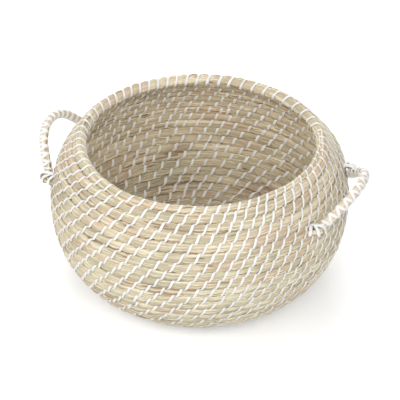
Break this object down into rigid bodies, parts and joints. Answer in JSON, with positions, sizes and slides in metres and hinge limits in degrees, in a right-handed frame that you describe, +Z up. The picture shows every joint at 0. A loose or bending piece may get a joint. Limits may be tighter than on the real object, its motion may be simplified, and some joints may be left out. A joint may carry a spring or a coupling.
{
  "type": "coiled basket with loop handles",
  "caption": "Round-bellied open storage basket of coiled grass sewn with pale strip, with two swinging loop handles.",
  "frame": {"origin": "centre of the base, on the surface that the basket stands on", "axes": "+Z up through the mouth, +X towards the right-hand handle, the handles' hinge axes along Y"},
  "size_m": [0.4547, 0.4004, 0.2117],
  "materials": {
    "grass": "dried seagrass bundles, matt to satin",
    "strip": "flat white strip, satin"
  },
  "bodies": {
    "basket": {"starting_knot": "grass", "base_coil": "grass", "wall_coil": "grass", "right_handle_first_lashing": "strip", "right_handle_second_lashing": "strip", "left_handle_first_lashing": "strip", "left_handle_second_lashing": "strip"},
    "right_handle": {"right_handle_core": "grass", "right_handle_wrap": "strip"},
    "left_handle": {"left_handle_core": "grass", "left_handle_wrap": "strip"}
  },
  "joints": [
    {"name": "right_handle_swing", "type": "hinge", "parent": "basket", "child": "right_handle", "pos_m": [0.19037, 0, 0.15409], "axis": [0, -1, 0], "range_deg": [-57, 38]},
    {"name": "left_handle_swing", "type": "hinge", "parent": "basket", "child": "left_handle", "pos_m": [-0.19194, 0, 0.14817], "axis": [0, 1, 0], "range_deg": [-69, 26]}
  ]
}
